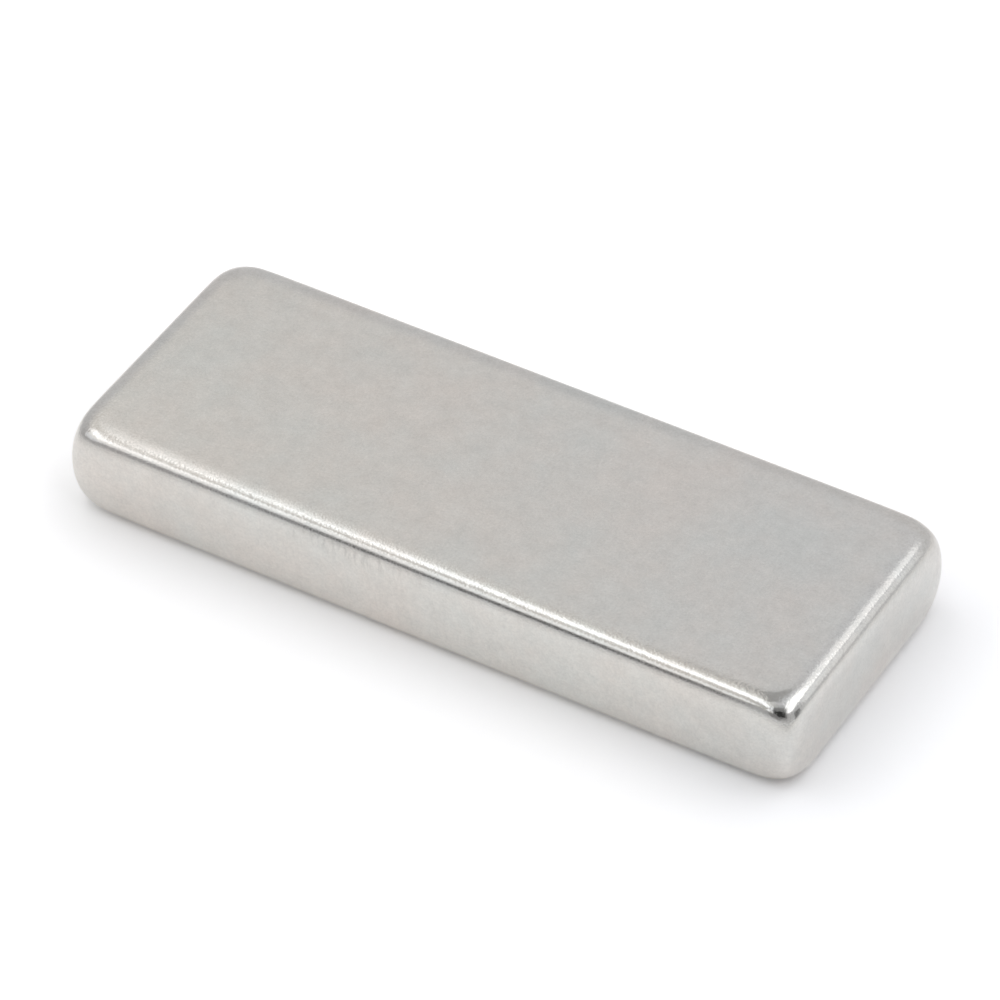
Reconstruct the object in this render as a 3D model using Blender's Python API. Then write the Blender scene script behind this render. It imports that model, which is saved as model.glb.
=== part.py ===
"""Block magnet: a flat bar of sintered magnet alloy, tumbled and plated with nickel.

The magnet is one solid piece. Sizes are metres and +Z is up. The origin is the centre of
the lower pole face, +X runs along the length and +Y across the width.

The bar is pressed and ground square, and tumbling then wears its edges round. The wear
starts gently on the flat, is strongest on the edge itself, and takes most away at the
eight corners. The same thing happens to a subdivided cage: a box with a line cut on both
sides of every edge, whose corner points are pulled in a little.
"""

import bmesh
import bpy
from mathutils import Vector

# Overall size, measured over the flat faces.
LENGTH = 0.040
WIDTH = 0.015
THICKNESS = 0.005

# Distance from a sharp edge to the line on the flat where its rounding begins.
EDGE_ROUNDING = 0.0015

# Width of the flat band behind that line, which keeps the rest of the face flat.
FLAT_BAND = 0.0015

# How far tumbling has worn each corner in, along each of the three directions.
CORNER_WEAR = 0.0005

# Each round of subdivision splits a facet in four.
ROUNDING_LEVELS = 3

# Only the eight corners of the cage join this many edges.
EDGES_AT_A_CORNER = 3

# Points nearer to a cutting plane than this count as lying on it.
ON_PLANE = 1e-7

# Satin nickel plating.
NICKEL_COLOUR = (0.62, 0.605, 0.575, 1.0)
NICKEL_ROUGHNESS = 0.22
NICKEL_METALLIC = 1.0


def clear_scene():
    for item in list(bpy.data.objects):
        bpy.data.objects.remove(item, do_unlink=True)


def make_nickel():
    nickel = bpy.data.materials.new("nickel_plating")
    nickel.use_nodes = True
    shader = nickel.node_tree.nodes["Principled BSDF"]
    shader.inputs["Base Color"].default_value = NICKEL_COLOUR
    shader.inputs["Roughness"].default_value = NICKEL_ROUGHNESS
    shader.inputs["Metallic"].default_value = NICKEL_METALLIC
    nickel.diffuse_color = NICKEL_COLOUR
    return nickel


def make_ground_bar():
    """The bar as it is ground: a sharp box that stands on the origin's plane."""
    bar = bmesh.new()
    bmesh.ops.create_cube(bar, size=1.0)
    bmesh.ops.scale(bar, vec=(LENGTH, WIDTH, THICKNESS), verts=bar.verts)
    bmesh.ops.translate(bar, vec=(0.0, 0.0, THICKNESS / 2), verts=bar.verts)
    return bar


def cut_line(bar, normal, distance):
    """Cut a line all round the bar, on the plane at this distance along the normal."""
    whole = bar.verts[:] + bar.edges[:] + bar.faces[:]
    bmesh.ops.bisect_plane(
        bar, geom=whole, dist=ON_PLANE, plane_co=normal * distance, plane_no=normal
    )


def cut_rounding_lines(bar):
    """Cut the lines that set how far the rounding reaches onto each face."""
    behind = EDGE_ROUNDING + FLAT_BAND
    for normal, half_size in ((Vector((1, 0, 0)), LENGTH / 2), (Vector((0, 1, 0)), WIDTH / 2)):
        for reach in (EDGE_ROUNDING, behind):
            cut_line(bar, normal, half_size - reach)
            cut_line(bar, normal, reach - half_size)
    up = Vector((0, 0, 1))
    cut_line(bar, up, EDGE_ROUNDING)
    cut_line(bar, up, THICKNESS - EDGE_ROUNDING)


def wear_corners(bar):
    """Pull the eight corner points in towards the middle of the bar."""
    middle = Vector((0, 0, THICKNESS / 2))
    for point in bar.verts:
        if len(point.link_edges) == EDGES_AT_A_CORNER:
            outward = point.co - middle
            for axis in range(3):
                point.co[axis] -= CORNER_WEAR if outward[axis] > 0 else -CORNER_WEAR


def make_magnet():
    bar = make_ground_bar()
    cut_rounding_lines(bar)
    wear_corners(bar)
    bmesh.ops.recalc_face_normals(bar, faces=bar.faces)

    mesh = bpy.data.meshes.new("block_magnet")
    bar.to_mesh(mesh)
    bar.free()
    mesh.materials.append(make_nickel())
    mesh.shade_smooth()

    magnet = bpy.data.objects.new("block_magnet", mesh)
    bpy.context.scene.collection.objects.link(magnet)

    tumbling = magnet.modifiers.new("tumbled_rounding", "SUBSURF")
    tumbling.levels = ROUNDING_LEVELS
    tumbling.render_levels = ROUNDING_LEVELS
    return magnet


clear_scene()
make_magnet()
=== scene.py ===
import math

import bmesh
import bpy
from mathutils import Matrix, Vector


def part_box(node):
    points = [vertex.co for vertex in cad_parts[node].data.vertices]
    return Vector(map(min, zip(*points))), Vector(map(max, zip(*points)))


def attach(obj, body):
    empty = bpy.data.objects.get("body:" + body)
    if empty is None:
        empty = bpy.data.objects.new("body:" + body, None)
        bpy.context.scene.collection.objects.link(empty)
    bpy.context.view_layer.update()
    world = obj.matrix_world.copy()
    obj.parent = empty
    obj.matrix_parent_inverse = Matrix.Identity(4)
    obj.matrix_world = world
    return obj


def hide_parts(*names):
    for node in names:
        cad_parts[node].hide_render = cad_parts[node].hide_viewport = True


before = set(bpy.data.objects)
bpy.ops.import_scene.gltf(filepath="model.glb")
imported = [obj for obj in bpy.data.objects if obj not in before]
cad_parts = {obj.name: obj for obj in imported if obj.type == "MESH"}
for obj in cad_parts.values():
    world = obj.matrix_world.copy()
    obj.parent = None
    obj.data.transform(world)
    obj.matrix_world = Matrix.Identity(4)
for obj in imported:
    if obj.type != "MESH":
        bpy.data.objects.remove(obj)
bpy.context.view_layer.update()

# The block, from the corners of its CAD node, in metres.
BLOCK_LOW, BLOCK_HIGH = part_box("block_magnet")
BLOCK_SIZE = BLOCK_HIGH - BLOCK_LOW
BLOCK_MIDDLE = (BLOCK_LOW + BLOCK_HIGH) / 2
MILLIMETRE = 0.001

# Tumbled rounding: where it starts behind each sharp edge, the flat band behind that, and
# how far each corner is worn in.
EDGE_ROUNDING = 1.5 * MILLIMETRE
FLAT_BAND = 1.5 * MILLIMETRE
CORNER_WEAR = 0.5 * MILLIMETRE
ROUNDING_LEVELS = 4
EDGES_AT_A_CORNER = 3

# Nickel, as linear colour: the two tints that the plating drifts between.
WARM_NICKEL = (0.640, 0.602, 0.562, 1.0)
COOL_NICKEL = (0.606, 0.603, 0.576, 1.0)

# Patterns in the plating. Each has the number of its patches that fit in a metre, the finer
# rounds of noise laid over them and how rough those make it, and the values of that noise at
# which the pattern starts and is full.
TINT_DRIFTS = {"patches": 160.0, "rounds": 8.0, "rough": 0.65, "start": 0.35, "full": 0.65}
COARSE_SPECKS = {"patches": 800.0, "rounds": 5.0, "rough": 1.0, "start": 0.25, "full": 0.75}
FINE_SPECKS = {"patches": 9000.0, "rounds": 2.0, "rough": 0.5, "start": 0.30, "full": 0.70}
DULL_PATCHES = {"patches": 700.0, "rounds": 4.0, "rough": 0.5, "start": 0.30, "full": 0.70}
SCUFF_TICKS = {"patches": 3600.0, "rounds": 2.0, "rough": 0.6, "start": 0.46, "full": 0.66}

# How far the specks darken and lighten the plating, and how rough it is between its dull
# patches and in them.
COARSE_SPECK_TONE = 0.115
FINE_SPECK_TONE = 0.04
GLOSSY_ROUGHNESS = 0.11
DULL_ROUGHNESS = 0.14

# Faint scuffs on the front side, just under its rim: the middle of the scuffed patch, its reach
# each way and the share of that reach in which they are full. Height counts for a quarter in
# the pattern of their ticks, so these stand upright. They darken the plating to this tone at
# most.
SCUFF_MIDDLE = Vector((-3.6, -7.5, 4.4)) * MILLIMETRE
SCUFF_REACH = Vector((5.2, 0.8, 0.9)) * MILLIMETRE
SCUFF_CORE = 0.35
TICK_STRETCH = (1.0, 1.0, 0.25)
SCUFFED_TONE = 0.84

# The pebbled grain: its depth, its share of that depth on the flat faces, and how far round the
# rims it starts to deepen and is full.
GRAIN_DEPTH = 0.007 * MILLIMETRE
FLAT_GRAIN = 0.25
GRAIN_START = 1.05 * EDGE_ROUNDING
GRAIN_FULL = 1.35 * EDGE_ROUNDING

# Camera, at the photograph's viewing angle: where it stands, what it looks at, its tilt, its
# lens and sensor in millimetres, and the nearest and farthest that it sees. Its view turns this
# far from +Y towards -X, and the lamps and the room are lined up with it.
CAMERA_PLACE = Vector((0.10959, -0.16942, 0.19163))
CAMERA_AIM = Vector((-0.00095, 0.00138, 0.00179))
CAMERA_ROLL = math.radians(-2.34)
CAMERA_LENS = 209.75
CAMERA_SENSOR = 36.0
CAMERA_NEAR = 0.01
CAMERA_FAR = 10.0
CAMERA_TURN = math.radians(32.9)

# The lamps hang level at this height, and their places and sizes are shares of it. A lamp with
# this many watts on each square metre is as bright as 1.0. The lamps on the left are cooler.
LAMP_HEIGHT = 0.60
LAMP_WATTS = 4.0
LEFT_LAMP_COLOUR = (0.945, 0.995, 1.075)
RIGHT_LAMP_COLOUR = (0.995, 1.000, 1.005)

# The studio's cards are of matt paper.
CARD_ROUGHNESS = 0.9

# Light level of the room: overhead behind the camera and beyond the block, lower down on its
# dim side and its light side, and at the horizon. Its tint overhead on both sides, and low down.
FRONT_ROOM_LEVEL = 0.58
BACK_ROOM_LEVEL = 0.87
LOW_DIM_LEVEL = 0.56
LOW_LIGHT_LEVEL = 0.77
HORIZON_LEVEL = 0.80
LEFT_ROOM_TINT = (1.055, 1.042, 1.020, 1.0)
RIGHT_ROOM_TINT = (0.940, 0.955, 1.000, 1.0)
LOW_ROOM_TINT = (0.980, 0.990, 1.020, 1.0)

# Where the room changes: how far the look points in a direction, from -1 to 1, at the start and
# at the end of each change. The changes are upwards from the horizon and to overhead, towards
# the light side, along the camera's view and across it, to its right.
HORIZON_CHANGE = (0.04, 0.24)
OVERHEAD_CHANGE = (0.54, 0.68)
LIGHT_SIDE_CHANGE = (-0.50, 0.80)
ALONG_CHANGE = (-0.50, 0.32)
ACROSS_CHANGE = (-0.13, 0.13)

# The room's own directions: up, and its light side in degrees from +Y towards +X.
UP = (0.0, 0.0, 1.0)
LIGHT_SIDE = 10.0

# The floor's disc. It lies this little under the block, so that the two share no plane.
FLOOR_RADIUS = 1.6
FLOOR_SIDES = 96
FLOOR_GAP = 0.02 * MILLIMETRE

# Tone of the white floor: as it lights the block, as the camera sees it, and as the plating
# mirrors it close by and further off. Close by, the mirrored floor is painted brighter, a
# painted light over the block's shadow in its reflection. The mirrored tone changes between
# these two distances, and distance along the block counts for less than distance across it.
FLOOR_TONE = 0.91
SEEN_FLOOR_TONE = 1.205
CLOSE_FLOOR_PAINTED_LIGHT = 1.25
WIDE_FLOOR_TONE = 0.96
CLOSE_FLOOR_REACH = 0.010
WIDE_FLOOR_REACH = 0.032
FLOOR_STRETCH = (0.4, 1.0, 0.0)
FLOOR_TINT = (1.011, 1.000, 0.988, 1.0)

# Painted shade: the floor is painted a little dimmer and cooler beside the right end, deepening
# the block's shadow there: the middle of that patch, how far from there it is full, how far
# from there it ends, and its tint.
PAINTED_SHADE_MIDDLE = (0.026, 0.001, 0.0)
PAINTED_SHADE_REACH = 0.010
PAINTED_SHADE_END = 0.021
PAINTED_SHADE_TINT = (0.970, 0.965, 0.966, 1.0)

# The vector operations that give a number.
NUMBER_OPERATIONS = ("DOT_PRODUCT", "LENGTH", "DISTANCE")


def select_none():
    for item in bpy.context.selected_objects:
        item.select_set(False)


def compass(azimuth, elevation, distance):
    """A place seen from the block: azimuth turns from +Y towards +X, both in degrees."""
    turn = math.radians(azimuth)
    rise = math.radians(elevation)
    flat = math.cos(rise) * distance
    return Vector((math.sin(turn) * flat, math.cos(turn) * flat, math.sin(rise) * distance))


def overhead(across, along):
    """A place at the lamps' height, from the block across and along the camera's view."""
    flat = Vector((across, along, 1.0)) * LAMP_HEIGHT
    return Matrix.Rotation(CAMERA_TURN, 3, "Z") @ flat


def feed(tree, socket, source):
    """Links a node's input to another node's output, or gives it a fixed value."""
    if isinstance(source, bpy.types.NodeSocket):
        tree.links.new(source, socket)
    else:
        socket.default_value = source


def combine(tree, operation, first, second):
    """Two numbers made into one."""
    node = tree.nodes.new("ShaderNodeMath")
    node.operation = operation
    feed(tree, node.inputs[0], first)
    feed(tree, node.inputs[1], second)
    return node.outputs["Value"]


def measure(tree, operation, first, second=(0.0, 0.0, 0.0)):
    """A place or a direction worked on, with a second one where the operation takes two."""
    node = tree.nodes.new("ShaderNodeVectorMath")
    node.operation = operation
    feed(tree, node.inputs[0], first)
    feed(tree, node.inputs[1], second)
    return node.outputs["Value" if operation in NUMBER_OPERATIONS else "Vector"]


def spread(tree, value, start, end, low, high, easing="LINEAR"):
    """A number that goes from low to high while the value goes from start to end."""
    node = tree.nodes.new("ShaderNodeMapRange")
    node.interpolation_type = easing
    node.inputs["From Min"].default_value = start
    node.inputs["From Max"].default_value = end
    node.inputs["To Min"].default_value = low
    node.inputs["To Max"].default_value = high
    tree.links.new(value, node.inputs["Value"])
    return node.outputs["Result"]


def mix(tree, share, first, second):
    """A number between two others, nearer to the second as the share grows."""
    node = tree.nodes.new("ShaderNodeMix")
    feed(tree, node.inputs[0], share)
    feed(tree, node.inputs[2], first)
    feed(tree, node.inputs[3], second)
    return node.outputs[0]


def mix_colours(tree, share, first, second):
    """A colour between two others, nearer to the second as the share grows."""
    node = tree.nodes.new("ShaderNodeMix")
    node.data_type = "RGBA"
    feed(tree, node.inputs[0], share)
    feed(tree, node.inputs[6], first)
    feed(tree, node.inputs[7], second)
    return node.outputs[2]


def tone_colour(tree, colour, tone):
    """A colour made darker or lighter by a tone, which is 1.0 where it stays."""
    node = tree.nodes.new("ShaderNodeVectorMath")
    node.operation = "SCALE"
    feed(tree, node.inputs["Vector"], colour)
    feed(tree, node.inputs["Scale"], tone)
    return node.outputs["Vector"]


def make_magnet():
    """The plated block: a bar whose edges and corners are tumbled round."""
    select_none()
    bpy.ops.mesh.primitive_cube_add(size=1.0, location=BLOCK_MIDDLE, scale=BLOCK_SIZE)
    block = bpy.context.object
    block.name = "plated_block"
    bpy.ops.object.transform_apply(location=True, rotation=True, scale=True)

    # Lines on both sides of every edge. The thickness has no room for the second ones.
    bpy.ops.object.mode_set(mode="EDIT")
    bpy.ops.mesh.select_mode(type="VERT")
    both_lines = (EDGE_ROUNDING, EDGE_ROUNDING + FLAT_BAND)
    for axis, lines in enumerate((both_lines, both_lines, (EDGE_ROUNDING,))):
        normal = Vector((0.0, 0.0, 0.0))
        normal[axis] = 1.0
        for line in lines:
            for place in (BLOCK_LOW[axis] + line, BLOCK_HIGH[axis] - line):
                bpy.ops.mesh.select_all(action="SELECT")
                bpy.ops.mesh.bisect(plane_co=normal * place, plane_no=normal)

    # The eight corner points, pulled in.
    bpy.ops.mesh.select_all(action="DESELECT")
    edit = bmesh.from_edit_mesh(block.data)
    for point in edit.verts:
        point.select = len(point.link_edges) == EDGES_AT_A_CORNER
    edit.select_flush_mode()
    bmesh.update_edit_mesh(block.data)
    worn = [1.0 - 2.0 * CORNER_WEAR / size for size in BLOCK_SIZE]
    bpy.ops.transform.resize(value=worn, center_override=BLOCK_MIDDLE)
    bpy.ops.mesh.select_all(action="SELECT")
    bpy.ops.mesh.normals_make_consistent(inside=False)
    bpy.ops.object.mode_set(mode="OBJECT")

    tumbling = block.modifiers.new("tumbled_rounding", "SUBSURF")
    tumbling.levels = ROUNDING_LEVELS
    tumbling.render_levels = ROUNDING_LEVELS
    bpy.ops.object.modifier_apply(modifier=tumbling.name)
    bpy.ops.object.shade_smooth()
    return block


def make_nickel():
    """Satin nickel plating: slow drifts of tint, a fine pebbled grain and soft gloss."""
    nickel = bpy.data.materials.new("satin_nickel")
    nickel.use_nodes = True
    tree = nickel.node_tree
    shader = tree.nodes["Principled BSDF"]
    shader.inputs["Metallic"].default_value = 1.0
    place = tree.nodes.new("ShaderNodeTexCoord").outputs["Object"]

    def noise(kind, where):
        """Noise between 0 and 1, in the patches of this kind of pattern."""
        node = tree.nodes.new("ShaderNodeTexNoise")
        node.inputs["Scale"].default_value = kind["patches"]
        node.inputs["Detail"].default_value = kind["rounds"]
        node.inputs["Roughness"].default_value = kind["rough"]
        tree.links.new(where, node.inputs["Vector"])
        return node.outputs["Fac"]

    def pattern(kind, low, high, where=place):
        """A number that is low off this kind of pattern and high where it is full."""
        return spread(tree, noise(kind, where), kind["start"], kind["full"], low, high)

    tint = mix_colours(tree, pattern(TINT_DRIFTS, 0.0, 1.0), WARM_NICKEL, COOL_NICKEL)
    coarse = pattern(COARSE_SPECKS, 1.0 - COARSE_SPECK_TONE, 1.0 + COARSE_SPECK_TONE)
    fine = pattern(FINE_SPECKS, 1.0 - FINE_SPECK_TONE, 1.0 + FINE_SPECK_TONE)
    specks = combine(tree, "MULTIPLY", coarse, fine)

    from_scuffs = measure(tree, "SUBTRACT", place, SCUFF_MIDDLE)
    share_of_reach = measure(tree, "LENGTH", measure(tree, "DIVIDE", from_scuffs, SCUFF_REACH))
    in_patch = spread(tree, share_of_reach, SCUFF_CORE, 1.0, 1.0, 0.0)
    ticks = pattern(SCUFF_TICKS, 0.0, 1.0, measure(tree, "MULTIPLY", place, TICK_STRETCH))
    scuffing = combine(tree, "MULTIPLY", in_patch, ticks)
    scuffs = spread(tree, scuffing, 0.0, 1.0, 1.0, SCUFFED_TONE)

    tone = combine(tree, "MULTIPLY", specks, scuffs)
    tree.links.new(tone_colour(tree, tint, tone), shader.inputs["Base Color"])
    gloss = pattern(DULL_PATCHES, GLOSSY_ROUGHNESS, DULL_ROUGHNESS)
    tree.links.new(gloss, shader.inputs["Roughness"])

    # How far round the rims: EDGE_ROUNDING on a flat face, and more on edges and corners.
    flats = [size / 2 - EDGE_ROUNDING for size in BLOCK_SIZE]
    from_middle = measure(tree, "ABSOLUTE", measure(tree, "SUBTRACT", place, BLOCK_MIDDLE))
    past_flats = measure(tree, "MAXIMUM", measure(tree, "SUBTRACT", from_middle, flats))
    round_rims = measure(tree, "DOT_PRODUCT", past_flats, (1.0, 1.0, 1.0))

    grain = tree.nodes.new("ShaderNodeBump")
    grain.inputs["Distance"].default_value = GRAIN_DEPTH
    strength = spread(tree, round_rims, GRAIN_START, GRAIN_FULL, FLAT_GRAIN, 1.0)
    tree.links.new(strength, grain.inputs["Strength"])
    tree.links.new(noise(FINE_SPECKS, place), grain.inputs["Height"])
    tree.links.new(grain.outputs["Normal"], shader.inputs["Normal"])
    return nickel


def make_floor_white():
    """Matt white, whose tone depends on whether the camera, the plating or the light meets it. It
    holds painted light, where the plating mirrors it close to the block, and painted shade
    beside the block's right end.
    """
    white = bpy.data.materials.new("white_floor")
    white.use_nodes = True
    tree = white.node_tree
    shader = tree.nodes["Principled BSDF"]
    shader.inputs["Roughness"].default_value = 1.0
    shader.inputs["Specular IOR Level"].default_value = 0.0
    rays = tree.nodes.new("ShaderNodeLightPath").outputs
    place = tree.nodes.new("ShaderNodeTexCoord").outputs["Object"]

    mirrored = combine(tree, "MAXIMUM", rays["Is Glossy Ray"], rays["Is Transmission Ray"])
    # Painted light: close to the block the plating mirrors the floor brighter, over the block's
    # shadow.
    distance = measure(tree, "LENGTH", measure(tree, "MULTIPLY", place, FLOOR_STRETCH))
    reaches = (CLOSE_FLOOR_REACH, WIDE_FLOOR_REACH)
    mirrored_tone_with_painted_light = spread(tree, distance, *reaches, CLOSE_FLOOR_PAINTED_LIGHT, WIDE_FLOOR_TONE)
    unseen_tone = mix(tree, mirrored, FLOOR_TONE, mirrored_tone_with_painted_light)
    tone = mix(tree, rays["Is Camera Ray"], unseen_tone, SEEN_FLOOR_TONE)

    # Painted shade beside the block's right end: the floor is painted dimmer and cooler there.
    from_painted_shade = measure(tree, "DISTANCE", place, PAINTED_SHADE_MIDDLE)
    painted_shade = spread(tree, from_painted_shade, PAINTED_SHADE_END, PAINTED_SHADE_REACH, 0.0, 1.0, "SMOOTHSTEP")
    tint = mix_colours(tree, painted_shade, FLOOR_TINT, PAINTED_SHADE_TINT)
    tree.links.new(tone_colour(tree, tint, tone), shader.inputs["Base Color"])
    return white


def make_floor():
    """A wide white floor that stays white to the camera and keeps the block's soft shadow."""
    select_none()
    bpy.ops.mesh.primitive_circle_add(
        vertices=FLOOR_SIDES,
        radius=FLOOR_RADIUS,
        fill_type="NGON",
        location=(0.0, 0.0, -FLOOR_GAP),
    )
    floor = bpy.context.object
    floor.name = "white_floor"
    floor.data.materials.append(make_floor_white())


def make_softbox(name, left, right, near, far, brightness, turn=0.0):
    """A flat lamp overhead, facing down, between these edges as the camera sees them. It may be
    turned about its own middle, in degrees."""
    place = overhead((left + right) / 2, (near + far) / 2)
    heading = CAMERA_TURN + math.radians(turn)
    select_none()
    bpy.ops.object.light_add(type="AREA", location=place, rotation=(0.0, 0.0, heading))
    lamp = bpy.context.object
    lamp.name = name
    lamp.data.shape = "RECTANGLE"
    lamp.data.color = LEFT_LAMP_COLOUR if left < 0.0 else RIGHT_LAMP_COLOUR
    lamp.data.size = (right - left) * LAMP_HEIGHT
    lamp.data.size_y = (far - near) * LAMP_HEIGHT
    lamp.data.energy = LAMP_WATTS * lamp.data.size * lamp.data.size_y * brightness


def make_card(name, azimuth, elevation, distance, width, height, shade):
    """A grey card in the studio that faces the block. The camera itself doesn't see it."""
    place = compass(azimuth, elevation, distance)
    select_none()
    bpy.ops.mesh.primitive_plane_add(size=1.0)
    card = bpy.context.object
    card.name = name
    card.scale = (width, height, 1.0)
    card.rotation_mode = "QUATERNION"
    card.rotation_quaternion = place.to_track_quat("Z", "Y")
    card.location = place
    paper = bpy.data.materials.new(name)
    paper.use_nodes = True
    shader = paper.node_tree.nodes["Principled BSDF"]
    shader.inputs["Base Color"].default_value = (shade, shade, shade, 1.0)
    shader.inputs["Roughness"].default_value = CARD_ROUGHNESS
    card.data.materials.append(paper)
    card.visible_camera = False


def make_room():
    """The pale room round the table: dim behind the camera and low down, cooler to the right."""
    world = bpy.data.worlds.new("pale_room")
    bpy.context.scene.world = world
    world.use_nodes = True
    tree = world.node_tree

    # In a world, these coordinates are the direction of the look.
    look = tree.nodes.new("ShaderNodeTexCoord").outputs["Generated"]

    def change(direction, limits, low=0.0, high=1.0):
        """A number that goes from low to high as the look turns towards this direction."""
        towards = measure(tree, "DOT_PRODUCT", look, direction)
        return spread(tree, towards, *limits, low, high, "SMOOTHSTEP")

    across = (math.cos(CAMERA_TURN), math.sin(CAMERA_TURN), 0.0)
    along = (-math.sin(CAMERA_TURN), math.cos(CAMERA_TURN), 0.0)
    light_side = compass(LIGHT_SIDE, 0.0, 1.0)
    high_up = change(UP, OVERHEAD_CHANGE)

    side_level = change(light_side, LIGHT_SIDE_CHANGE, LOW_DIM_LEVEL, LOW_LIGHT_LEVEL)
    low_level = mix(tree, change(UP, HORIZON_CHANGE), HORIZON_LEVEL, side_level)
    high_level = change(along, ALONG_CHANGE, FRONT_ROOM_LEVEL, BACK_ROOM_LEVEL)
    level = mix(tree, high_up, low_level, high_level)

    high_tint = mix_colours(tree, change(across, ACROSS_CHANGE), LEFT_ROOM_TINT, RIGHT_ROOM_TINT)
    tint = mix_colours(tree, high_up, LOW_ROOM_TINT, high_tint)

    background = tree.nodes["Background"]
    tree.links.new(tint, background.inputs["Color"])
    tree.links.new(level, background.inputs["Strength"])


def make_camera():
    """A camera with the photograph's view of the block."""
    select_none()
    bpy.ops.object.camera_add(location=CAMERA_PLACE)
    camera = bpy.context.object
    camera.name = "photo_camera"
    camera.data.lens = CAMERA_LENS
    camera.data.sensor_width = CAMERA_SENSOR
    camera.data.clip_start = CAMERA_NEAR
    camera.data.clip_end = CAMERA_FAR
    back = (CAMERA_PLACE - CAMERA_AIM).normalized()
    level = back.to_track_quat("Z", "Y").to_matrix()
    camera.rotation_mode = "QUATERNION"
    camera.rotation_quaternion = (level @ Matrix.Rotation(CAMERA_ROLL, 3, "Z")).to_quaternion()
    bpy.context.scene.camera = camera


block = make_magnet()
block.data.materials.append(make_nickel())
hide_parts("block_magnet")
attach(block, "root")

make_floor()
make_room()

# Lamps: their left, right, near and far edges, their brightness and, on some, a turn. The
# softboxes on both sides of the view make the bright stripes on the rims.
make_softbox("left_softbox", -0.295, -0.115, -0.70, 0.36, 0.94, 6.0)
make_softbox("left_softbox_near", -0.46, -0.16, -0.98, -0.70, 0.90, 6.0)
make_softbox("left_softbox_middle", -0.325, -0.170, 0.36, 0.56, 0.80, 6.0)
make_softbox("left_softbox_far", -0.29, -0.16, 0.56, 0.80, 0.42)
make_softbox("left_softbox_glow", -0.31, -0.13, 0.80, 1.05, 0.22)
make_softbox("left_panel", -0.92, -0.54, -0.06, 0.32, 0.68)
make_softbox("left_panel_far", -0.92, -0.47, 0.32, 0.74, 0.74)
make_softbox("left_panel_near", -0.92, -0.59, -0.55, -0.06, 0.50)
make_softbox("far_left_panel", -1.30, -0.92, -0.60, 0.70, 0.30)
make_softbox("left_wall_panel", -1.80, -1.30, -0.50, 0.75, 0.36)
make_softbox("far_left_wall_panel", -2.80, -1.80, -0.40, 0.85, 0.26)
make_softbox("right_softbox", 0.28, 0.74, -0.35, 0.50, 1.00)
make_softbox("right_softbox_near", 0.36, 0.85, -0.90, -0.35, 1.00)
make_softbox("right_softbox_far", 0.33, 0.78, 0.50, 0.80, 0.38)
make_softbox("right_panel", 0.86, 3.00, -0.30, 0.52, 0.24)

# Cards: azimuth, elevation, distance, width, height and shade. They make the dark line and the
# black spot on the rims, and the grey patches beside them.
make_card("camera_front", 144.5, 41.0, 0.30, 0.12, 0.145, 0.03)
make_card("photographer", 138.0, 47.0, 0.60, 0.30, 0.60, 0.34)
make_card("low_front_card", -156.4, 22.8, 0.50, 0.048, 0.165, 0.08)
make_card("low_side_card", 163.0, 24.0, 0.65, 0.24, 0.22, 0.36)
make_card("right_side_card", 88.0, 15.0, 0.60, 0.14, 0.30, 0.26)
make_card("ceiling_seam", -25.8, 67.0, 0.70, 0.13, 0.36, 0.60)
make_camera()

bpy.context.scene.view_settings.view_transform = "Standard"
